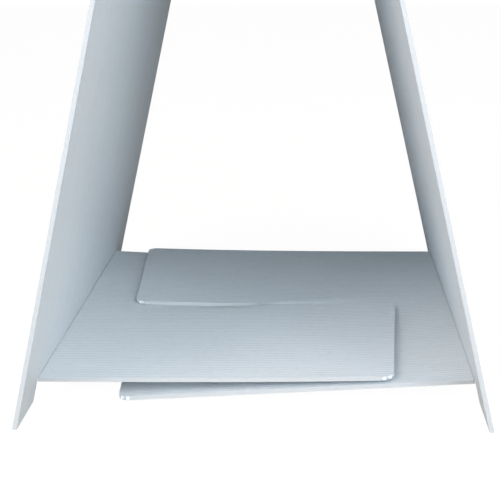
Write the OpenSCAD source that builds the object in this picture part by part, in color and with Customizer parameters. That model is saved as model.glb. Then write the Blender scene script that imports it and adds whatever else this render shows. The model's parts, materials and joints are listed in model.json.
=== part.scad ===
// Folding sawhorse of twin-wall board: two leaning leg panels, a lapped top
// and two shelf flaps whose tongues interlock by slits. Front is -Y.

/* [Board] */
// Thickness of the twin-wall board
board_t = 4; // [3:0.5:6]
// Width of each leg panel, front to rear
board_w = 610; // [400:10:900]

/* [Stance] */
// Lean of each leg panel from the vertical, degrees
lean = 13; // [8:0.5:18]
// Half the width between the two shelf folds
shelf_half = 206; // [150:1:260]
// Height of the shelf's top face
shelf_z = 24; // [20:1:60]
// Half the width of the top between its folds
ridge_half = 49; // [35:1:70]

/* [Shelf flaps] */
// Width of each flap, front to rear
flap_w = 472; // [300:2:500]
// Length of each flap at its slit
flap_len = 352; // [300:1:380]
// Change of a flap's length for each millimetre toward the rear
flap_slant = 0.066; // [0:0.002:0.1]
// Rounding of the flaps' free corners
corner_r = 12; // [2:1:20]
// Drop of the front under tongue, for each millimetre of its length
front_droop = 0.0565; // [0.02:0.0005:0.0565]
// Drop of the rear under tongue, which is the longer of the two
rear_droop = 0.052; // [0.02:0.001:0.053]
// Rise at the end of the tongue that passes over
end_rise = 3.5; // [0:0.5:6]
// Width of the slit
slit_w = 2; // [1:0.5:4]
// Distance from the fold at which the tongues begin to flex
tongue_start = 189; // [150:1:200]

/* [Rivets] */
// Diameter of a rivet's head
head_d = 14; // [10:1:18]
// Thickness of a rivet's head
head_t = 1.5; // [1:0.1:2]
// Diameter of a rivet's hollow shank
shank_d = 6.4; // [5:0.1:8]
// Diameter of the spread tail below the lower ply
tail_d = 9.5; // [7.5:0.5:11]
// Diameter of the pin that spreads the shank
pin_d = 3; // [2:0.5:4]

/* [Hidden] */
$fn = 48;

white = [0.90, 0.92, 0.93];
rivet_white = [0.95, 0.95, 0.94];

// each cut edge stands this far from the line it folds about
fold_gap = 0.3;
// clear gap between neighbours on different bodies
part_gap = 0.5;
// overshoot of a cutting solid past the face it cuts
over = 1;
crease_r = board_t - 0.1;
crease_trim = 1;

ridge_z = shelf_z + (shelf_half - ridge_half) / tan(lean);
upper_half = ridge_half - board_t * tan(lean);
leg_len = (ridge_z - shelf_z) / cos(lean);
ply_overlap_end = 2.5;

// distance of the slit's end from the fold, so that both slits meet at x = 0
slit_u = shelf_half;
mid_blend_w = 5;
blend_lag = 0.2;        // part of the half width by which the twist sits toward the under side
root_blend_w = 85;

// grid of a flap's root, along the slope and from one side to the other
root_rows = 8;
half_w = flap_w / 2;
root_v = [-half_w, -130, -90, -68, -50, -36, -25, -16, -9, -4, 0, 4, 9, 16, 26,
          40, 58, 80, 105, half_w];

tail_h = 1.8;
shank_gap = 0.2;
rivet_rows = [-22, 12];
rivet_columns = [-240, -80, 80, 240];
pin_head_d = 7;
pin_head_t = 0.7;
bore_gap = 0.1;

// ---- rules of the flap's surface -------------------------------------------

// half width of the blend from the over level to the under level, at distance u
function blend_w(u) = mid_blend_w + root_blend_w * (1 - u / slit_u);
function smooth(t) = let (k = min(1, max(0, t))) k * k * (3 - 2 * k);
function over_z(u) = end_rise * pow(u / flap_len, 3);
function under_z(u, droop) = -droop * u;
// height of the top face at distance u from the fold and v across, where the
// tongue at v < 0 passes over and the one at v > 0 passes under
function sheet_z(u, v, droop) =
    let (w = blend_w(u), s = smooth((v + w * (1 - blend_lag)) / (2 * w)))
    over_z(u) + (under_z(u, droop) - over_z(u)) * s;
// flap length at v; slant is +1 where the length grows with v
function end_u(v, slant) = flap_len + slant * flap_slant * v;

// ---- placing -----------------------------------------------------------------

// frame of a leg: origin on the fold line, +X outward from the inner face,
// +Z up the slope
module at_left(x, z) translate([-x, 0, z]) rotate([0, lean, 0]) mirror([1, 0, 0]) children();
module at_right(x, z) translate([x, 0, z]) rotate([0, -lean, 0]) children();

// frame of a flap: origin on the fold line, +X along the flap, +Y across, with
// the over tongue on the -Y side
module as_left_flap() translate([-shelf_half, 0, shelf_z]) children();
module as_right_flap() rotate([0, 0, 180]) as_left_flap() children();

// ---- leg panels ----------------------------------------------------------------

module foot_keep() {
    // all that lies above the floor
    translate([-board_w, -board_w, 0]) cube([2 * board_w, 2 * board_w, 3 * board_w]);
}

// blank of one leg in its own frame: panel above the fold, two feet below it
module leg_blank(length) {
    foot_len = 2 * shelf_z;
    difference() {
        translate([0, -board_w / 2, -foot_len])
            cube([board_t, board_w, length + foot_len - fold_gap]);
        translate([-over, -half_w - part_gap, -foot_len - over])
            cube([board_t + 2 * over, flap_w + 2 * part_gap, foot_len + over + fold_gap]);
    }
}

module left_leg_panel() {
    color(white) intersection() {
        at_left(shelf_half, shelf_z) leg_blank(leg_len + board_t / cos(lean));
        foot_keep();
    }
}

module right_leg_panel() {
    color(white) intersection() {
        at_right(shelf_half, shelf_z) leg_blank(leg_len);
        foot_keep();
    }
}

// ---- top -----------------------------------------------------------------------

module rivet_places() {
    for (x = rivet_rows, y = rivet_columns) translate([x, y, 0]) children();
}

module upper_top_ply() {
    x0 = -upper_half + fold_gap;
    x1 = ridge_half - ply_overlap_end;
    color(white) difference() {
        translate([x0, -board_w / 2, ridge_z + board_t]) cube([x1 - x0, board_w, board_t]);
        rivet_places() {
            translate([0, 0, ridge_z]) cylinder(d = shank_d + 2 * shank_gap, h = 3 * board_t);
            translate([0, 0, ridge_z + 2 * board_t - head_t - bore_gap])
                cylinder(d = head_d + 2 * shank_gap, h = board_t);
        }
    }
}

module lower_top_ply() {
    x0 = -ridge_half + ply_overlap_end;
    x1 = ridge_half - fold_gap;
    color(white) difference() {
        translate([x0, -board_w / 2, ridge_z]) cube([x1 - x0, board_w, board_t]);
        rivet_places()
            translate([0, 0, ridge_z - over])
                cylinder(d = shank_d + 2 * shank_gap, h = 2 * board_t);
    }
}

// ---- creases ---------------------------------------------------------------------

// outer skin and crushed flutes of a fold: a sector about the fold line
module crease(width, from_a, to_a) {
    rotate([90, 0, 0]) translate([0, 0, -width / 2])
        rotate([0, 0, from_a]) rotate_extrude(angle = to_a - from_a)
            translate([fold_gap, 0]) square([crease_r - fold_gap, width]);
}

module left_ridge_crease() {
    color(white) translate([-upper_half, 0, ridge_z + board_t])
        crease(board_w, 90 + crease_trim, 180 - lean - crease_trim);
}

module right_ridge_crease() {
    color(white) translate([ridge_half, 0, ridge_z])
        crease(board_w, lean + crease_trim, 90 - crease_trim);
}

module left_flap_crease() {
    color(white) as_left_flap()
        crease(flap_w, 180 - lean + crease_trim, 270 - crease_trim);
}

module right_flap_crease() {
    color(white) translate([shelf_half, 0, shelf_z])
        crease(flap_w, crease_trim - 90, lean - crease_trim);
}

// ---- shelf flaps -----------------------------------------------------------------

// twisted sheet from the fold to the start of the tongues
module flap_root(droop) {
    cols = len(root_v);
    us = [for (i = [0:root_rows])
        fold_gap + (tongue_start - fold_gap - part_gap) * i / root_rows];
    top = [for (u = us, v = root_v) [u, v, sheet_z(u, v, droop)]];
    bottom = [for (p = top) p - [0, 0, board_t]];
    n = len(top);
    grid = [for (i = [0:root_rows - 1], j = [0:cols - 2]) i * cols + j];
    upper_faces = [for (a = grid) each [[a, a + cols, a + 1], [a + 1, a + cols, a + cols + 1]]];
    lower_faces = [for (f = upper_faces) [f[0] + n, f[2] + n, f[1] + n]];
    rim = concat([for (j = [0:cols - 1]) j],
                 [for (i = [1:root_rows]) i * cols + cols - 1],
                 [for (j = [cols - 2:-1:0]) root_rows * cols + j],
                 [for (i = [root_rows - 1:-1:1]) i * cols]);
    m = len(rim);
    rim_faces = [for (k = [0:m - 1]) let (a = rim[k], b = rim[(k + 1) % m])
        each [[a, b, a + n], [b, b + n, a + n]]];
    polyhedron(concat(top, bottom), concat(upper_faces, lower_faces, rim_faces));
}

// plan outline of one tongue; side is -1 for the over tongue, +1 for the under
module tongue_plan(side, slant) {
    edge_v = side * half_w;
    slit_v = side * slit_w / 2;
    u0 = tongue_start;
    a = [end_u(edge_v, slant), edge_v];
    b = [end_u(slit_v, slant), slit_v];
    // free corners rounded by arcs about centres set in from both edges
    turn = atan(slant * flap_slant) * side;
    ca = a + corner_r * [-1 - sin(turn), -side];
    cb = b + corner_r * [-1 + sin(turn), side];
    arc_a = [for (t = [-90:15:-turn]) ca + corner_r * [cos(t), -side * sin(t)]];
    arc_b = [for (t = [-turn:15:90]) cb + corner_r * [cos(t), -side * sin(t)]];
    polygon(concat([[u0, edge_v]], arc_a, arc_b, [[u0, slit_v]]));
}

// tongue that passes over: a strip bent upward along a cubic curve
module over_tongue(slant) {
    steps = 8;
    longest = flap_len + flap_slant * half_w + over;
    us = [for (i = [0:steps]) tongue_start + (longest - tongue_start) * i / steps];
    upper = [for (u = us) [u, over_z(u)]];
    lower = [for (i = [steps:-1:0]) upper[i] - [0, board_t]];
    intersection() {
        rotate([90, 0, 0]) translate([0, 0, -board_w / 2])
            linear_extrude(board_w) polygon(concat(upper, lower));
        translate([0, 0, -flap_len / 2]) linear_extrude(flap_len) tongue_plan(-1, slant);
    }
}

// tongue that passes under: a straight strip that droops toward the floor
module under_tongue(slant, droop) {
    tip = 2 * flap_len;
    tip_z = under_z(tip, droop);
    intersection() {
        rotate([90, 0, 0]) translate([0, 0, -board_w / 2]) linear_extrude(board_w)
            polygon([[0, 0], [tip, tip_z], [tip, tip_z - board_t], [0, -board_t]]);
        translate([0, 0, -flap_len / 2]) linear_extrude(flap_len) tongue_plan(1, slant);
    }
}

module left_shelf_flap() color(white) as_left_flap() flap_root(rear_droop);
module right_shelf_flap() color(white) as_right_flap() flap_root(front_droop);
module left_over_tongue() color(white) as_left_flap() over_tongue(1);
module right_over_tongue() color(white) as_right_flap() over_tongue(-1);
module left_under_tongue() color(white) as_left_flap() under_tongue(1, rear_droop);
module right_under_tongue() color(white) as_right_flap() under_tongue(-1, front_droop);

// ---- push rivets -------------------------------------------------------------------

module rivet_socket() {
    top_z = ridge_z + 2 * board_t;
    difference() {
        union() {
            translate([0, 0, top_z - head_t]) cylinder(d = head_d, h = head_t);
            translate([0, 0, ridge_z - tail_h])
                cylinder(d = shank_d, h = 2 * board_t + tail_h - head_t / 2);
            translate([0, 0, ridge_z - tail_h])
                cylinder(d1 = shank_d, d2 = tail_d, h = tail_h - bore_gap);
        }
        translate([0, 0, ridge_z - tail_h - over])
            cylinder(d = pin_d + 2 * bore_gap, h = 3 * board_t);
        translate([0, 0, top_z - pin_head_t - bore_gap])
            cylinder(d = pin_head_d + 2 * bore_gap, h = board_t);
    }
}

module rivet_pin() {
    top_z = ridge_z + 2 * board_t;
    translate([0, 0, top_z - pin_head_t]) cylinder(d = pin_head_d, h = pin_head_t);
    translate([0, 0, ridge_z - tail_h + bore_gap])
        cylinder(d = pin_d, h = 2 * board_t + tail_h - pin_head_t);
}

module rivet_sockets() color(rivet_white) rivet_places() rivet_socket();
module rivet_pins() color(rivet_white) rivet_places() rivet_pin();

left_leg_panel();
right_leg_panel();
upper_top_ply();
lower_top_ply();
left_ridge_crease();
right_ridge_crease();
left_flap_crease();
right_flap_crease();
left_shelf_flap();
right_shelf_flap();
left_over_tongue();
right_over_tongue();
left_under_tongue();
right_under_tongue();
rivet_sockets();
rivet_pins();
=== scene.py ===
# %% [markdown]
# # A folding sawhorse of twin-wall board
# The stand is cut and creased from white fluted polypropylene: two leaning leg
# panels, a narrow lapped top, and a low shelf whose two flaps lock together by
# slits. Such a stand could be modelled as a dozen thin boxes, but then its looks
# and its working parts would drift apart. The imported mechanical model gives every
# size and every moving body, so this notebook loads it first and measures from it.
# Each part is then dressed with a mesh that has the real flutes, creases and rivets.

# %% Load the mechanical frame
import json
import math

import bpy
import numpy as np
from mathutils import Matrix, Vector


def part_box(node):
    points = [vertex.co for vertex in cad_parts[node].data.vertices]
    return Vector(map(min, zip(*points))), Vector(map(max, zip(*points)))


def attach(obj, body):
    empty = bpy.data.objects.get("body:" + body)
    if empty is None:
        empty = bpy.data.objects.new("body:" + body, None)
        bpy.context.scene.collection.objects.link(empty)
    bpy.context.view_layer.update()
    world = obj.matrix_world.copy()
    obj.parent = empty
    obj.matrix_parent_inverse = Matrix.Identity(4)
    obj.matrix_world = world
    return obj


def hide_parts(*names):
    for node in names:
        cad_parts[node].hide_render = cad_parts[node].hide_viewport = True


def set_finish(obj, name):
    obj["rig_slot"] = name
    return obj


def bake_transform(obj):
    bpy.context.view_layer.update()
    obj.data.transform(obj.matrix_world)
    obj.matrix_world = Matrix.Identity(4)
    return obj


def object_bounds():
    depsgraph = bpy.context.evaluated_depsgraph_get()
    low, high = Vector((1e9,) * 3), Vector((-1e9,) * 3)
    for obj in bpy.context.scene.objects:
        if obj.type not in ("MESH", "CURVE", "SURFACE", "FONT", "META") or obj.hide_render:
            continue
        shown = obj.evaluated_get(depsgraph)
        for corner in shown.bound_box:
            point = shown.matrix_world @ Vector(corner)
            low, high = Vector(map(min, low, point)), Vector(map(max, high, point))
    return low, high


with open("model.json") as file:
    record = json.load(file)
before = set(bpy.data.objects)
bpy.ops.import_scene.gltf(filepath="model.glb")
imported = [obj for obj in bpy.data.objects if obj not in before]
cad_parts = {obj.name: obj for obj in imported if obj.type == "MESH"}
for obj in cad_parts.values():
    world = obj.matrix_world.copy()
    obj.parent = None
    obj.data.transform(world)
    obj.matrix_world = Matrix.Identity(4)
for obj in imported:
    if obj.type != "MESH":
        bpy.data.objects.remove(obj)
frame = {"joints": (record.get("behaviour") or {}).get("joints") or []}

MM = 0.001
cad_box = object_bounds()
joints = {j["name"]: j for j in frame["joints"]}
left_ridge, right_ridge, left_fold, right_fold = (
    np.array(joints[name]["pos_m"], float)
    for name in ("top_fold", "right_leg_fold", "left_flap_fold", "right_flap_fold")
)
half_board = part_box("left_leg_panel")[1][1]
half_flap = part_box("left_shelf_flap")[1][1]
ply_low, ply_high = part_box("upper_top_ply")
lower_low, lower_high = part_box("lower_top_ply")
board_t = ply_high[2] - ply_low[2]
lean = math.atan2(right_fold[0] - right_ridge[0], right_ridge[2] - right_fold[2])
print("board %.1f mm, lean %.2f degrees, height %.0f mm" % (
    board_t / MM, math.degrees(lean), cad_box[1][2] / MM))

# %% [markdown]
# ## Flutes
# Twin-wall board is two thin skins held apart by ribs, about 5 mm apart. The
# open ends of the flutes are what tells the eye that this is light plastic
# board and not sheet metal. They could be a dark stripe in the material, but a
# stripe lies flat in every light, so here they are real holes that run the whole
# length. All flutes run across the Y axis, up the legs and along the shelf, because
# the stand is folded from straight blanks. One grid of lines across Y therefore
# serves every piece. Each flute takes six lines, so the skin between two ribs
# can sink by a few hundredths of a millimetre, as extruded skin does.

# %% Lines across the board
PITCH = 5 * MM
RIB = 0.3 * MM
SKIN = 0.32 * MM
SINK = 0.055 * MM
CUT_FADE = 2 * MM
LAST_FLUTE = 0.6
CELL_STEPS = np.array([0.0, RIB / PITCH, 0.28, 0.5, 0.72, 1 - RIB / PITCH])


def flute_edges(half_width, extra=()):
    """Rib positions every PITCH from the middle out to both side edges, with the
    nearest rib moved onto each extra position. The last flute on either side is
    LAST_FLUTE of a pitch wide, give or take half a pitch."""
    count = int(round((half_width - LAST_FLUTE * PITCH) / PITCH))
    inside = np.arange(-count, count + 1) * PITCH
    edges = np.concatenate(([-half_width], inside, [half_width]))
    for place in extra:
        edges[np.argmin(np.abs(edges - place))] = place
    return edges


def lines_of(edges):
    """Every line across the board, and how far the skin sinks there: nothing at a
    rib, and SINK half way between two ribs, along a cosine."""
    width = np.diff(edges)
    v = (edges[:-1, None] + width[:, None] * CELL_STEPS).ravel()
    sink = np.tile(SINK * (1 - np.cos(2 * np.pi * CELL_STEPS)) / 2, len(width))
    return np.append(v, edges[-1]), np.append(sink, 0.0)


print("a leg has", len(flute_edges(half_board)) - 1, "flutes")

# %% [markdown]
# ## From a grid to a mesh
# A sheet of board could be an extruded section with its notches cut by Boolean
# modifiers, but those leave slivers where hundreds of thin walls meet the cutter.
# Here a board is a grid of rows along the flutes and lines across them, in four
# layers: outer skin, its inside, the other skin's inside, and that skin. A table
# of kept cells leaves out notches, slits and feet. Working with whole index arrays
# keeps the ends, the flute walls and the sawn sides joined into one closed
# surface, so the mesh has a true inside and outside.

# %% Mesh helpers
SHARP_DEG = 35


def add_mesh(name, points, faces, cut=None):
    """A mesh object from a point array and a list of face index arrays, each of
    one corner count. Unused points are dropped and the faces point outward."""
    used, packed = np.unique(np.concatenate([f.ravel() for f in faces]), return_inverse=True)
    points = points[used]
    split = np.cumsum([f.size for f in faces])[:-1]
    faces = [p.reshape(f.shape) for p, f in zip(np.split(packed, split), faces)]
    volume = 0.0
    for f in faces:
        corners = points[f]
        fan = np.cross(corners[:, 1:-1], corners[:, 2:])
        volume += np.einsum("ik,ijk->", corners[:, 0], fan)
    if volume < 0:
        faces = [f[:, ::-1] for f in faces]
    mesh = bpy.data.meshes.new(name)
    mesh.vertices.add(len(points))
    mesh.vertices.foreach_set("co", points.astype(np.float32).ravel())
    sizes = np.concatenate([np.full(len(f), f.shape[1]) for f in faces])
    mesh.loops.add(int(sizes.sum()))
    mesh.loops.foreach_set("vertex_index", np.concatenate([f.ravel() for f in faces]))
    mesh.polygons.add(len(sizes))
    mesh.polygons.foreach_set("loop_start", np.concatenate(([0], np.cumsum(sizes)[:-1])))
    mesh.update(calc_edges=True)
    mesh.validate()
    mesh.polygons.foreach_set("use_smooth", np.ones(len(mesh.polygons), bool))
    mesh.set_sharp_from_angle(angle=math.radians(SHARP_DEG))
    value = np.zeros(len(points)) if cut is None else cut.ravel()[used]
    store = mesh.attributes.new("cut", "FLOAT", "POINT")
    store.data.foreach_set("value", value.astype(np.float32))
    piece = bpy.data.objects.new(name, mesh)
    bpy.context.scene.collection.objects.link(piece)
    return piece


def faces_from(*corners):
    """Faces from equal index arrays, one for each corner."""
    return np.stack([c.ravel() for c in corners], axis=1)


def twin_wall(name, edges, rows, keep, place, sawn, press=None):
    """A fluted board. edges are rib positions across it; rows(v) gives the distance
    along the flutes of every row at every line; keep says which cell of which row
    is there; place(u, v, w) carries along, across and through to space, with w from
    0 at the first skin to the board's thickness at the second; sawn(u, v) is the
    distance to the nearest sawn edge; press(u, v), if given, is how deep the second
    skin is pushed in. The cut value is 1 at a sawn edge and fades over CUT_FADE."""
    v, sink = lines_of(edges)
    u = rows(v)
    n_rows, n_lines = u.shape
    steps = len(CELL_STEPS)
    v = np.broadcast_to(v, u.shape)
    dent = np.zeros_like(u) if press is None else press(u, v)
    thick = board_t - dent
    through = np.stack([sink + 0 * u, SKIN + 0 * u, thick - SKIN, thick - sink], axis=2)
    points = place(u[..., None], v[..., None], through)
    index = np.arange(n_rows * n_lines * 4).reshape(n_rows, n_lines, 4)
    n_cells = len(edges) - 1

    def at(*corners):
        """Faces whose corners are (row, line, layer), each a number or an array."""
        return faces_from(*(index[corner] for corner in corners))

    # the four layers of every kept cell, and the two walls of its flute
    faces = []
    r, c = np.nonzero(keep)
    for k in range(steps):
        a, b = c * steps + k, c * steps + k + 1
        faces.append(at((r, a, 0), (r, b, 0), (r + 1, b, 0), (r + 1, a, 0)))
        faces.append(at((r, a, 3), (r + 1, a, 3), (r + 1, b, 3), (r, b, 3)))
        if 0 < k < steps - 1:
            faces.append(at((r, a, 1), (r + 1, a, 1), (r + 1, b, 1), (r, b, 1)))
            faces.append(at((r, a, 2), (r, b, 2), (r + 1, b, 2), (r + 1, a, 2)))
    a, b = c * steps + 1, c * steps + steps - 1
    faces.append(at((r, a, 1), (r, a, 2), (r + 1, a, 2), (r + 1, a, 1)))
    faces.append(at((r, b, 1), (r + 1, b, 1), (r + 1, b, 2), (r, b, 2)))

    # cut ends, at every row where the board begins or stops
    wide = np.zeros((n_rows + 1, n_cells), int)
    wide[1:-1] = keep
    hexes = []
    for sign, (r, c) in ((1, np.nonzero(np.diff(wide, axis=0) > 0)),
                         (-1, np.nonzero(np.diff(wide, axis=0) < 0))):
        def cap(*corners):
            return at(*((r, line, layer) for line, layer in corners[::sign]))
        for k in range(1, steps - 1):
            a, b = c * steps + k, c * steps + k + 1
            faces.append(cap((a, 0), (a, 1), (b, 1), (b, 0)))
            faces.append(cap((a, 2), (a, 3), (b, 3), (b, 2)))
        a, b = c * steps, c * steps + 1
        hexes.append(cap((a, 0), (a, 3), (b, 3), (b, 2), (b, 1), (b, 0)))
        a, b = c * steps + steps - 1, c * steps + steps
        hexes.append(cap((a, 0), (a, 1), (a, 2), (a, 3), (b, 3), (b, 0)))

    # sawn sides, at every rib where the board begins or stops across
    tall = np.zeros((n_rows - 1, n_cells + 2), int)
    tall[:, 1:-1] = keep
    for sign, (r, c) in ((1, np.nonzero(np.diff(tall, axis=1) > 0)),
                         (-1, np.nonzero(np.diff(tall, axis=1) < 0))):
        a = c * steps
        side = ((r, a, 0), (r + 1, a, 0), (r + 1, a, 3), (r, a, 3))
        faces.append(at(*side[::sign]))

    cut = np.clip(1 - sawn(u, v) / CUT_FADE, 0, 1)
    cut = np.repeat(cut[..., None], 4, axis=2)
    return add_mesh(name, points.reshape(-1, 3), faces + hexes, cut)


print("mesh helpers ready")

# %% [markdown]
# ## Leg panels
# Each leg is one flat sheet that runs from the ridge crease to the shelf crease,
# and goes on to the floor only as two feet, left over where the shelf flap was
# cut free between them. The feet are sawn level, so their flutes show as slanted
# openings. They could be added as four small boards, but then a joint line would
# show where the real sheet has none. So the sheet's rows are the floor, the fold
# and the ridge, and the rows below the fold are kept only near the two side edges.

# %% Leg panels
FOLD_GAP = 0.3 * MM
FLAP_GAP = 0.5 * MM
ACROSS = np.array([0, 1, 0])
foot_edge = half_flap + FLAP_GAP
leg_edges = flute_edges(half_board, (-foot_edge, foot_edge))


def leg_panel(name, side, fold, ridge):
    """A slab through the fold and ridge lines: a point is the fold plus u up the
    slope and w outward along the slab's normal. The feet end where the height
    above the floor is zero, so their length grows with w times tan(lean)."""
    up = np.array([-side * math.sin(lean), 0, math.cos(lean)])
    out = np.array([side * math.cos(lean), 0, math.sin(lean)])
    length = (ridge[2] - fold[2]) / math.cos(lean)
    foot = fold[2] / math.cos(lean)
    stops = np.array([-foot, CUT_FADE - foot, FOLD_GAP, 0.1 * length, 0.5 * length,
                      0.9 * length, length - FOLD_GAP])

    def place(u, v, w):
        near_floor = u < -0.75 * foot
        along = u + np.where(near_floor, -w * math.tan(lean), 0.0)
        return (fold + along[..., None] * up + w[..., None] * out
                + v[..., None] * ACROSS)

    def sawn(u, v):
        return np.minimum(half_board - np.abs(v), np.where(u < 0, u + foot, 1.0))

    middle = (leg_edges[:-1] + leg_edges[1:]) / 2
    keep = np.ones((len(stops) - 1, len(middle)), bool)
    keep[:2] = np.abs(middle) > foot_edge
    panel = twin_wall(name, leg_edges, lambda v: stops[:, None] + 0 * v, keep, place, sawn)
    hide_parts(name.replace("_board", ""))
    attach(panel, "left_leg" if side < 0 else "right_leg")
    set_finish(panel, "board")
    return panel


left_leg = leg_panel("left_leg_panel_board", -1, left_fold, left_ridge)
right_leg = leg_panel("right_leg_panel_board", 1, right_fold, right_ridge)
print("legs:", [len(o.data.polygons) for o in (left_leg, right_leg)], "faces")

# %% [markdown]
# ## The shelf's shape
# The flaps are not flat. At the front the left flap lies over the right one, and
# at the rear it passes under it, so each flap is level on one side of its slit and
# droops on the other, with a twist between them that narrows toward the slit. A
# cloth simulation could find this shape, but it would come out a little different
# each run. So the height of the sheet is one formula of the distance from the fold
# and the place across, the same one that the mechanical model uses. It makes the
# root, the tongue that passes over and the one that passes under.

# %% The sheet's rule
FLAP_LENGTH = 352 * MM
FLAP_SLANT = 0.066
END_RISE = 3.5 * MM
FRONT_DROOP = 0.0565
REAR_DROOP = 0.052
SLIT_HALF = 1 * MM
CORNER = 12 * MM
TONGUE_START = 189 * MM
SLIT_START = 198 * MM
MIDDLE_BLEND = 5 * MM
ROOT_BLEND = 85 * MM
TIGHT_BLEND = 1 * MM
BLEND_LAG = 0.2


def blend_width(u):
    """Half width of the twist: wide at the fold, falling in a straight line toward
    the slit, and closed up within the last few millimetres before it."""
    wide = MIDDLE_BLEND + ROOT_BLEND * (1 - u / -left_fold[0])
    start = MIDDLE_BLEND + ROOT_BLEND * (1 - TONGUE_START / -left_fold[0])
    share = np.clip((u - TONGUE_START) / (SLIT_START - TONGUE_START), 0, 1)
    return np.where(u < TONGUE_START, wide, start + (TIGHT_BLEND - start) * share)


def sheet_height(u, v, droop):
    """Level of the over side, END_RISE times the cube of the distance, blended by a
    smooth step across v into the straight droop of the under side. The step's middle
    lags toward the under side, so that the other flap's tongue lies on the sheet."""
    over = END_RISE * (u / FLAP_LENGTH) ** 3
    under = -droop * u
    w = blend_width(u)
    t = np.clip((v + w * (1 - BLEND_LAG)) / (2 * w), 0, 1)
    return over + (under - over) * t * t * (3 - 2 * t)


def free_end(v, slant):
    """Length of the flap at v: a slanted edge with a quarter circle at each corner."""
    edge_distance = np.minimum(half_flap - np.abs(v), np.abs(v) - SLIT_HALF)
    into = np.clip(CORNER - np.maximum(edge_distance, 0), 0, CORNER)
    return FLAP_LENGTH + slant * FLAP_SLANT * v - (CORNER - np.sqrt(CORNER**2 - into**2))


print("a flap sinks %.1f mm at its end" % (FRONT_DROOP * FLAP_LENGTH / MM))

# %% [markdown]
# ## Flaps and tongues
# Each flap is one sheet, but its over tongue lifts out of the interlock while the
# rest stays. An armature with painted weights could bend it. Here there are two
# meshes that share one rule: the root with its under tongue rides on the flap's
# body, and the over tongue is a mesh of its own, fixed where it lies at rest. The
# right flap is the left one turned half round.

# %% Flaps and tongues
ROOT_ROWS = 15
TONGUE_ROWS = 13
flap_edges = flute_edges(half_flap)
at_slit = np.argmin(np.abs(flap_edges))
flap_edges = np.concatenate((flap_edges[:at_slit], [-SLIT_HALF, SLIT_HALF],
                             flap_edges[at_slit + 1:]))
flap_middle = (flap_edges[:-1] + flap_edges[1:]) / 2
root_rows = np.append(np.linspace(FOLD_GAP, TONGUE_START, ROOT_ROWS), SLIT_START)
tongue_rows = np.append(np.linspace(0, 1, TONGUE_ROWS)[1:-1], [0.985, 1.0])


def flap_place(side):
    """Carries a flap's own along, across and down to space. The right flap is the
    left one turned half round, so both of its plan directions change sign."""
    turn = -side
    droop = REAR_DROOP if side < 0 else FRONT_DROOP

    def place(u, v, w):
        z = left_fold[2] + sheet_height(u, v, droop) - w
        x = turn * (left_fold[0] + u)
        return np.stack(np.broadcast_arrays(x, turn * v, z), axis=-1)
    return place


def flap_rows(start_rows, slant):
    """Straight rows up to the slit, then rows that fan out to the slanted end."""
    def rows(v):
        fan = SLIT_START + (free_end(v, slant) - SLIT_START) * tongue_rows[:, None]
        return np.vstack((start_rows[:, None] + 0 * v, fan))
    return rows


def shelf_flap(side):
    """The root with its under tongue, and the over tongue as a mesh of its own."""
    word = "left" if side < 0 else "right"
    slant = -side

    def sawn(u, v):
        slit = np.where(u > SLIT_START - 1 * MM, np.abs(v) - SLIT_HALF, 1.0)
        return np.minimum(np.minimum(half_flap - np.abs(v), slit), free_end(v, slant) - u)

    n = len(root_rows) + len(tongue_rows) - 1
    in_root = (np.arange(n) < len(root_rows) - 2)[:, None]
    before_slit = (np.arange(n) < len(root_rows) - 1)[:, None]
    in_slit = np.abs(flap_middle) < SLIT_HALF
    keep = in_root | (flap_middle > SLIT_HALF) | (before_slit & in_slit)
    base = twin_wall(word + "_flap_board", flap_edges, flap_rows(root_rows, slant),
                     keep, flap_place(side), sawn)
    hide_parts(word + "_shelf_flap", word + "_under_tongue")
    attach(base, word + "_flap")
    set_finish(base, "board")

    over_rows = root_rows[-2:]
    n = len(over_rows) + len(tongue_rows) - 1
    keep = np.ones((n, 1), bool) & (flap_middle < -SLIT_HALF)
    tongue = twin_wall(word + "_over_tongue_board", flap_edges, flap_rows(over_rows, slant),
                       keep, flap_place(side), sawn)
    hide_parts(word + "_over_tongue")
    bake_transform(tongue)
    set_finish(tongue, "board")
    return base, tongue


left_flap, left_tongue = shelf_flap(-1)
right_flap, right_tongue = shelf_flap(1)
print("flaps:", [len(o.data.polygons) for o in (left_flap, left_tongue)], "faces")

# %% [markdown]
# ## Lapped top
# The top is two plies of board, one from each blank, held by push rivets. Where a
# rivet's head is driven home it crushes the flutes under it, so the upper skin
# dips into a shallow dish around each head. A displacement map would need far more
# faces over the whole ply. Here the rows lie close together only near the rivets,
# and a smooth step of the distance from each rivet is pressed into them.

# %% Top plies
rivet_low, rivet_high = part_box("rivet_sockets")
HEAD_R = 7 * MM
RIVETS_ALONG = 4
DISH_DEPTH = 1.55 * MM
DISH_FADE = 5 * MM
DISH_REACH = 1.05 * HEAD_R + DISH_FADE
DISH_ROWS = 14
rivet_x = np.array([rivet_low[0] + HEAD_R, rivet_high[0] - HEAD_R])
rivet_y = np.linspace(rivet_low[1] + HEAD_R, rivet_high[1] - HEAD_R, RIVETS_ALONG)
rivets = [(x, y) for x in rivet_x for y in rivet_y]


def dish(x, y):
    """Depth of the dishes: full inside a head's radius, fading out beyond it."""
    depth = np.zeros(np.broadcast(x, y).shape)
    for cx, cy in rivets:
        t = np.clip(1 - (DISH_REACH - np.hypot(x - cx, y - cy)) / DISH_FADE, 0, 1)
        depth = np.maximum(depth, DISH_DEPTH * (1 - t * t * (3 - 2 * t)))
    return depth


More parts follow.
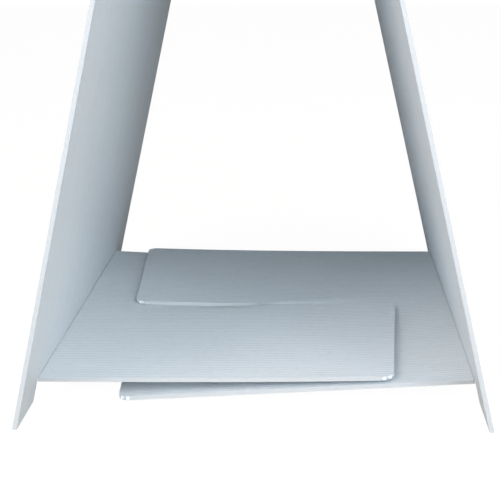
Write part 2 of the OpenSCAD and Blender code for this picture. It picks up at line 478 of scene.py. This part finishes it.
def top_ply(name, low, high, press=None):
    """A flat board from end to end of its CAD ply, with rows every 1.9 mm where it
    is dished. Its sides and the end away from its crease are sawn."""
    stops = np.array([low[0], low[0] + CUT_FADE, 0, high[0] - CUT_FADE, high[0]])
    if press:
        across = np.linspace(-DISH_REACH, DISH_REACH, DISH_ROWS)
        stops = np.concatenate((stops[[0, -1]], *(x + across for x in rivet_x)))
        stops.sort()

    def place(u, v, w):
        return np.stack(np.broadcast_arrays(u, v, low[2] + w), axis=-1)

    def sawn(u, v):
        end = high[0] - u if press else u - low[0]
        return np.minimum(half_board - np.abs(v), end)

    edges = flute_edges(half_board)
    keep = np.ones((len(stops) - 1, len(edges) - 1), bool)
    ply = twin_wall(name + "_board", edges, lambda v: stops[:, None] + 0 * v, keep, place,
                    sawn, press)
    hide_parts(name)
    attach(ply, "top")
    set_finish(ply, "board")
    return ply


upper_ply = top_ply("upper_top_ply", ply_low, ply_high, dish)
lower_ply = top_ply("lower_top_ply", lower_low, lower_high)
print("upper ply:", len(upper_ply.data.polygons), "faces")

# %% [markdown]
# ## Creases
# A crease is a line where the flutes were crushed flat and the outer skin bent
# round. A bevel on one folded mesh would look alike at rest, but then the sheets
# could not turn. So each crease is its own strip, swept along Y from one closed
# outline: an outer arc about the fold line, a little slacker half way round, and
# an inner line that swells into a bead in the corner. The skin still shows each
# rib as a tiny crest.

# %% Creases
ARC_STEPS = 15
BEAD = 0.25 * MM * np.array([1.0, 0.2, -1.2, 0.2, 1.0])
CREASE_CREST = 0.12 * MM
CREASE_SLACK = 0.25 * MM
CREASE_INSET = 0.05 * MM


def crease(name, axis, from_deg, to_deg, half_width):
    """Outer radius is the board's thickness less CREASE_INSET, less a slack of sine
    squared over the arc, less a crest that follows the rib phase along Y."""
    turns = np.linspace(0, 1, ARC_STEPS)
    angle = np.radians(from_deg + (to_deg - from_deg) * turns)
    y = lines_of(flute_edges(half_width))[0]
    slack = CREASE_SLACK * np.sin(np.pi * turns) ** 2
    inside = np.abs(y) < half_width - PITCH
    crest = CREASE_CREST * (1 - np.cos(2 * np.pi * y / PITCH)) / 2 * inside
    outer = board_t - CREASE_INSET - slack - crest[:, None] * np.sin(np.pi * turns)
    inner = np.broadcast_to(BEAD, (len(y), len(BEAD)))
    radius = np.hstack((outer, inner))
    back = np.linspace(0, ARC_STEPS - 1, len(BEAD)).astype(int)
    sweep = np.concatenate((angle, angle[::-1][back]))
    points = np.stack((axis[0] + radius * np.cos(sweep), y[:, None] + 0 * radius,
                       axis[2] + radius * np.sin(sweep)), axis=2)
    n = len(sweep)
    index = np.arange(len(y) * n).reshape(len(y), n)
    along = np.roll(index, -1, axis=1)
    faces = [faces_from(index[:-1], along[:-1], along[1:], index[1:]),
             index[:1, ::-1], index[-1:]]
    piece = add_mesh(name + "_skin", points.reshape(-1, 3), faces)
    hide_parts(name)
    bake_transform(piece)
    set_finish(piece, "crease")
    return piece


tilt = math.degrees(lean)
creases = [
    crease("left_flap_crease", left_fold, 180 - tilt, 270, half_flap),
    crease("right_flap_crease", right_fold, tilt, -90, half_flap),
    crease("left_ridge_crease", left_ridge, 180 - tilt, 90, half_board),
    crease("right_ridge_crease", right_ridge, 90, tilt, half_board),
]
print("creases:", [o.name for o in creases])

# %% [markdown]
# ## Push rivets
# Each rivet is a moulded nylon socket, pushed through both plies, and a pin that
# spreads it. Cylinders with bevels would do for the heads, but not for the flared
# tail. Both parts are turned shapes instead: an outline of radius and height
# carried once round the axis, as the Spin tool or a Screw modifier would do it. The
# pin's head sits in a shallow recess, a hair below the face that work rests on.

# %% Rivets
rivet_top = rivet_high[2]
tail_low = rivet_low[2]
SPIN_STEPS = 48
CURVE_STEPS = 4
BORE_R = 1.6 * MM
RECESS_R = 3.7 * MM
RECESS_DEPTH = 0.9 * MM
HEAD_EDGE = 0.35 * MM
HEAD_UNDER = 1.5 * MM
SHANK_R = 3.2 * MM
FLARE_R = 4.7 * MM
FLARE_RISE = 1.5 * MM
TIP_R = 3.3 * MM
PIN_R = 1.5 * MM
PIN_HEAD_R = 3.45 * MM
PIN_HEAD_UNDER = 0.8 * MM
CENTRE_R = 0.05 * MM


def turned(name, outline, body, node):
    """Outline points (radius, height) carried round the axis at every rivet. The
    outline is a closed ring of points, so the last one joins the first."""
    spin = np.linspace(0, 2 * np.pi, SPIN_STEPS, endpoint=False)
    r, z = np.array(outline).T
    n, m = len(spin), len(r)
    one = np.stack((np.cos(spin)[:, None] * r, np.sin(spin)[:, None] * r,
                    z + 0 * spin[:, None]), axis=2)
    index = np.arange(n * m).reshape(n, m)
    beside = np.roll(index, -1, axis=0)
    below, beside_below = np.roll(index, -1, axis=1), np.roll(beside, -1, axis=1)
    ring = faces_from(index, beside, beside_below, below)
    points = [(one + np.array([x, y, 0])).reshape(-1, 3) for x, y in rivets]
    faces = [ring + k * n * m for k in range(len(rivets))]
    piece = add_mesh(name, np.concatenate(points), faces)
    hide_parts(node)
    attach(piece, body)
    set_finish(piece, "rivet")
    return piece


def rounded(corners, radius):
    """An outline whose corners are cut by short curves: each corner is replaced by a
    quadratic curve that starts and ends radius away from it, or just under half way
    along a short side."""
    p = np.array(corners, float)

    def toward(q):
        d = q - p
        length = np.linalg.norm(d, axis=1, keepdims=True)
        return p + d / length * np.minimum(radius, 0.45 * length)

    a, b = toward(np.roll(p, 1, axis=0)), toward(np.roll(p, -1, axis=0))
    t = np.linspace(0, 1, CURVE_STEPS)[:, None, None]
    curve = (1 - t) ** 2 * a + 2 * t * (1 - t) * p + t**2 * b
    return curve.transpose(1, 0, 2).reshape(-1, 2)


socket_outline = rounded([
    (BORE_R, rivet_top - RECESS_DEPTH), (RECESS_R - 0.1 * MM, rivet_top - RECESS_DEPTH),
    (RECESS_R, rivet_top), (HEAD_R, rivet_top - HEAD_EDGE),
    (HEAD_R, rivet_top - HEAD_UNDER + 0.05 * MM), (SHANK_R, rivet_top - HEAD_UNDER),
    (SHANK_R, tail_low + FLARE_RISE + 0.3 * MM), (FLARE_R, tail_low + FLARE_RISE),
    (TIP_R, tail_low), (BORE_R, tail_low)], 0.3 * MM)
pin_outline = rounded([
    (CENTRE_R, rivet_top - 0.05 * MM), (PIN_HEAD_R - 0.15 * MM, rivet_top - 0.12 * MM),
    (PIN_HEAD_R, rivet_top - PIN_HEAD_UNDER), (PIN_R, rivet_top - PIN_HEAD_UNDER),
    (PIN_R, tail_low + 0.2 * MM), (CENTRE_R, tail_low + 0.1 * MM)], 0.2 * MM)
sockets = turned("rivet_socket_set", socket_outline, "top", "rivet_sockets")
pins = turned("rivet_pin_set", pin_outline, "top", "rivet_pins")
print("rivets:", len(rivets))

# %% [markdown]
# ## Shader maths
# A material's pattern is a sum of simpler ones, and each plus sign is one node. The
# graph could be drawn by hand, but it is easier to read as a sum. The small class
# below wraps a socket so that +, - and * add Math nodes, and one method makes
# every other node.

# %% Shader helpers
class Wire:
    """A value inside a node tree; arithmetic on it adds Math nodes."""

    def __init__(self, graph, socket):
        self.graph, self.socket = graph, socket

    def _math(self, operation, a, b):
        return self.graph.node("ShaderNodeMath", {"operation": operation}, {0: a, 1: b})

    def __add__(self, other): return self._math("ADD", self, other)
    def __radd__(self, other): return self._math("ADD", other, self)
    def __sub__(self, other): return self._math("SUBTRACT", self, other)
    def __rsub__(self, other): return self._math("SUBTRACT", other, self)
    def __mul__(self, other): return self._math("MULTIPLY", self, other)
    def __rmul__(self, other): return self._math("MULTIPLY", other, self)


class Graph:
    """The node tree of a material or of the world."""

    def __init__(self, tree):
        self.tree = tree

    def put(self, socket, value):
        """Links a Wire to the socket, or sets the socket to a constant."""
        if isinstance(value, Wire):
            self.tree.links.new(value.socket, socket)
        else:
            socket.default_value = value

    def node(self, kind, settings=None, inputs=None, output=0):
        """Adds a node and returns one of its outputs."""
        made = self.tree.nodes.new(kind)
        for key, value in (settings or {}).items():
            setattr(made, key, value)
        for key, value in (inputs or {}).items():
            self.put(made.inputs[key], value)
        return Wire(self, made.outputs[output])

    def into(self, node_name, inputs):
        """Sets or links inputs of a node that the tree has from the start."""
        for key, value in inputs.items():
            self.put(self.tree.nodes[node_name].inputs[key], value)

    def smooth(self, value, low, high):
        return self.node("ShaderNodeMapRange", {"interpolation_type": "SMOOTHSTEP"},
                         {"Value": value, "From Min": low, "From Max": high})

    def noise(self, vector, scale, detail=3.0, roughness=0.55):
        return self.node("ShaderNodeTexNoise", {}, {
            "Vector": vector, "Scale": scale, "Detail": detail, "Roughness": roughness})

    def mix(self, factor, a, b):
        return self.node("ShaderNodeMix", {"data_type": "RGBA"},
                         {"Factor": factor, 6: a, 7: b}, output=2)

    def bump(self, strength, distance, height):
        return self.node("ShaderNodeBump", {}, {
            "Strength": strength, "Distance": distance, "Height": height})

    def place(self):
        return self.node("ShaderNodeTexCoord", output="Object")

    def stretched(self, *scale):
        return self.node("ShaderNodeMapping", {}, {"Vector": self.place(), "Scale": scale})


def new_material(name):
    """A material with nodes, and its graph."""
    material = bpy.data.materials.new(name)
    material.use_nodes = True
    return material, Graph(material.node_tree)


print("shader helpers ready")

# %% [markdown]
# ## Fluted polypropylene
# The board is a cool white with a satin skin. Over each rib the skin is backed by
# plastic and reads a little lighter; between ribs the hollow shows through as a
# faint cooler line. Extrusion leaves fine streaks and bands along the flutes, the
# ribs print through unevenly, handling leaves a few scuffs, and a sawn edge is
# greyer than the skin. A scanned texture could show all this, but it would
# bring its own light and its own scale. Here every pattern is a formula of the
# object's own coordinates, and the tone between shade and light is a weighted sum.

# %% Board material
RIB_TONE, MOTTLE_TONE, STREAK_TONE, BAND_TONE, CLOUD_TONE = 0.85, 0.45, 0.30, 0.20, 0.25
TONE_LOW, TONE_HIGH = 0.42, 1.10
BOARD_LIGHT, BOARD_SHADE = (0.885, 0.905, 0.915, 1), (0.71, 0.752, 0.78, 1)
CREASE_LIGHT, CREASE_SHADE = (0.875, 0.895, 0.905, 1), (0.79, 0.825, 0.85, 1)
SAWN_GREY = (0.57, 0.565, 0.555, 1)
CREASE_RIBS = 0.6
POLYPROPYLENE_IOR = 1.49


def board_material(name, light, shade, rib_depth=1.0):
    """Satin sheet between two colours; rib_depth fades the ribs where they are crushed."""
    material, g = new_material(name)
    place = g.place()
    across = g.node("ShaderNodeSeparateXYZ", {}, {"Vector": place}, output="Y")
    phase = across * (2 * math.pi / PITCH)
    rib = g.node("ShaderNodeMath", {"operation": "COSINE"}, {0: phase}) * 0.5 + 0.5
    streak = g.noise(g.stretched(26.0, 330.0, 26.0), 1.0, 4.0)
    weave = g.noise(g.stretched(120.0, 190.0, 120.0), 1.0, 2.0)
    band = g.noise(g.stretched(2.5, 150.0, 2.5), 1.0, 2.0)
    mottle = g.noise(place, 420.0, 2.0)
    cloud = g.noise(place, 7.0, 3.0)
    grain = g.noise(place, 1500.0, 2.0)
    scuff = g.smooth(g.noise(g.stretched(70.0, 34.0, 90.0), 1.0, 6.0, 0.7), 0.64, 0.78)
    cut = g.node("ShaderNodeAttribute", {"attribute_name": "cut"}, output="Fac")

    tone = (rib * weave * (RIB_TONE * rib_depth) + mottle * MOTTLE_TONE
            + streak * STREAK_TONE + band * BAND_TONE + cloud * CLOUD_TONE)
    colour = g.mix(g.smooth(tone, TONE_LOW, TONE_HIGH), shade, light)
    colour = g.mix(g.smooth(cut, 0.90, 0.99), colour, SAWN_GREY)
    height = (streak * 0.45 + grain * 0.10 + rib * (0.45 * rib_depth) + band * 0.3
              - scuff * 0.25)
    g.into("Principled BSDF", {
        "Base Color": colour,
        "Roughness": 0.40 + cloud * 0.10 + scuff * 0.16 + streak * 0.06,
        "Normal": g.bump(0.35, 0.12 * MM, height),
        "IOR": POLYPROPYLENE_IOR, "Specular IOR Level": 0.42})
    return material


board = board_material("fluted_polypropylene", BOARD_LIGHT, BOARD_SHADE)
crease_skin = board_material("creased_polypropylene", CREASE_LIGHT, CREASE_SHADE, CREASE_RIBS)
print("board materials:", board.name, crease_skin.name)

# %% [markdown]
# ## Moulded nylon
# The rivets are warmer and a little glossier than the board, with a fine moulded
# grain that shows only in their highlights. One plain colour would do at a
# distance; two close ones and a slow change of gloss keep them from looking
# computed when they are near.

# %% Rivet material
NYLON_DARK, NYLON_LIGHT = (0.78, 0.775, 0.75, 1), (0.88, 0.875, 0.855, 1)


def nylon_material():
    material, g = new_material("moulded_nylon")
    place = g.place()
    cloud = g.noise(place, 60.0, 3.0)
    grain = g.noise(place, 2200.0, 2.0)
    g.into("Principled BSDF", {
        "Base Color": g.mix(cloud, NYLON_DARK, NYLON_LIGHT),
        "Roughness": 0.30 + cloud * 0.15,
        "Normal": g.bump(0.25, 0.1 * MM, grain)})
    return material


nylon = nylon_material()
finish = {"board": board, "crease": crease_skin, "rivet": nylon}
dressed = [left_leg, right_leg, left_flap, left_tongue, right_flap, right_tongue,
           upper_ply, lower_ply, *creases, sockets, pins]
for piece in dressed:
    piece.data.materials.append(finish[piece["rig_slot"]])
print("dressed", len(dressed), "pieces")

# %% [markdown]
# ## Floor and sky
# The stand is shown on a white sweep, where floor and background melt together. A
# plain white floor would turn grey in the stand's own shade, and turning shadows
# off would make the stand float. So the floor is matt paint to the object and part
# glow to the eye, and only the softest of its shadows stay. The sky is faint: a
# little light from the front, hardly any from the rear, and white when seen.

# %% Floor and sky
FLOOR_HALF = 6
FLOOR_DARK, FLOOR_LIGHT = (0.62, 0.57, 0.52, 1), (0.65, 0.60, 0.55, 1)
FLOOR_GLOW = 0.86
GLOW_STRENGTH = 1.12
WHITE = (1, 1, 1, 1)
SKY_TINT = (0.86, 0.95, 1.0, 1)
SKY_SEEN = 1.04
plan = np.array([[-1, -1, 0], [1, -1, 0], [1, 1, 0], [-1, 1, 0]], float)
floor = add_mesh("floor", FLOOR_HALF * plan, [np.array([[0, 1, 2, 3]])])


def floor_material():
    """Matt pale paint that is FLOOR_GLOW parts glow when seen directly."""
    material, g = new_material("pale_floor")
    seen = g.node("ShaderNodeLightPath")
    g.into("Principled BSDF", {
        "Base Color": g.mix(g.noise(g.place(), 3.0), FLOOR_DARK, FLOOR_LIGHT),
        "Roughness": 0.9, "Specular IOR Level": 0.1})
    paint = Wire(g, material.node_tree.nodes["Principled BSDF"].outputs[0])
    glow = g.node("ShaderNodeEmission", {}, {"Color": WHITE, "Strength": GLOW_STRENGTH})
    g.into("Material Output", {"Surface": g.node(
        "ShaderNodeMixShader", {}, {0: seen * FLOOR_GLOW, 1: paint, 2: glow})})
    return material


floor.data.materials.append(floor_material())


def soft_sky(front, rear, top):
    """Light that is strong from the front and weak from the rear, by a smooth step of
    the direction's Y, with a little more from above. Seen directly it is white."""
    world = bpy.data.worlds.new("soft_sky")
    bpy.context.scene.world = world
    world.use_nodes = True
    g = Graph(world.node_tree)
    way = g.node("ShaderNodeTexCoord", output="Generated")
    ahead = g.node("ShaderNodeSeparateXYZ", {}, {"Vector": way}, output="Y")
    above = g.node("ShaderNodeSeparateXYZ", {}, {"Vector": way}, output="Z")
    level = (g.smooth(ahead, 0.55, -0.85) * (front - rear) + rear
             + g.smooth(above, 0.0, 1.0) * top)
    seen = g.node("ShaderNodeLightPath")
    g.into("Background", {"Strength": level + seen * (SKY_SEEN - level),
                          "Color": g.mix(seen, SKY_TINT, WHITE)})


soft_sky(front=0.50, rear=0.04, top=0.04)
print("floor and sky ready")

# %% [markdown]
# ## Lamps
# White plastic on white is drawn only by its shading. One lamp would do it with
# hard shadows; four softboxes do it gently. The two in front light the inside of
# the stand, which then falls off toward the rear. The right one is the stronger,
# so the panel it faces, on the left, is the lighter one. The two at the sides are
# smaller and warmer, and keep the outer faces from going flat.

# %% Lamps
SOFTBOXES = (
    # name, place and size in metres, power in watts, colour
    ("front_left_softbox", (-0.9, -2.6, 1.0), 2.0, 23, (0.74, 0.89, 1.04)),
    ("front_right_softbox", (0.9, -2.6, 1.0), 2.0, 50, (0.77, 0.905, 1.04)),
    ("left_side_softbox", (-1.6, -1.6, 1.8), 1.5, 24, (1.0, 0.87, 0.80)),
    ("right_side_softbox", (1.6, -1.6, 1.8), 1.5, 14, (1.0, 0.95, 0.90)),
)


def soft_light(name, place, size, power, colour):
    """A square area light at place, turned to face the middle of the stand."""
    lamp = bpy.data.lights.new(name, "AREA")
    lamp.shape, lamp.size, lamp.energy, lamp.color = "SQUARE", size, power, colour
    made = bpy.data.objects.new(name, lamp)
    bpy.context.scene.collection.objects.link(made)
    made.location = place
    toward = Vector((0, 0, cad_box[1][2] / 2)) - Vector(place)
    made.rotation_euler = toward.to_track_quat("-Z", "Y").to_euler()


for softbox in SOFTBOXES:
    soft_light(*softbox)
bpy.context.scene.view_settings.view_transform = "Standard"
print("softboxes:", len(SOFTBOXES))

# %% [markdown]
# ## Camera
# The camera stands in front of the open end, a little above the middle of the
# stand's height, and looks down at the shelf, so the lower part fills the view. A
# Track To constraint would aim it, but would keep it level. Here three angles set
# the turn, the pitch and a slight roll, and a small lens shift slides the view
# sideways without turning the camera.

# %% Camera
eye = Vector((0.0560, -1.3280, 0.4360))
turn, pitch, roll = (math.radians(a) for a in (-1.68, -14.70, -0.31))
SENSOR_MM, LENS_MM, SHIFT_X = 36, 88.8, -0.06
ahead = Vector((math.sin(turn) * math.cos(pitch), math.cos(turn) * math.cos(pitch),
                math.sin(pitch)))
level = Vector((math.cos(turn), -math.sin(turn), 0))
upright = level.cross(ahead)
right = level * math.cos(roll) + upright * math.sin(roll)
up = upright * math.cos(roll) - level * math.sin(roll)
camera = bpy.data.objects.new("camera", bpy.data.cameras.new("camera"))
bpy.context.scene.collection.objects.link(camera)
camera.data.sensor_width = SENSOR_MM
camera.data.lens = LENS_MM
camera.data.shift_x = SHIFT_X
camera.matrix_world = Matrix((
    (right.x, up.x, -ahead.x, eye.x), (right.y, up.y, -ahead.y, eye.y),
    (right.z, up.z, -ahead.z, eye.z), (0, 0, 0, 1)))
bpy.context.scene.camera = camera
print("camera looks along", [round(a, 3) for a in ahead])
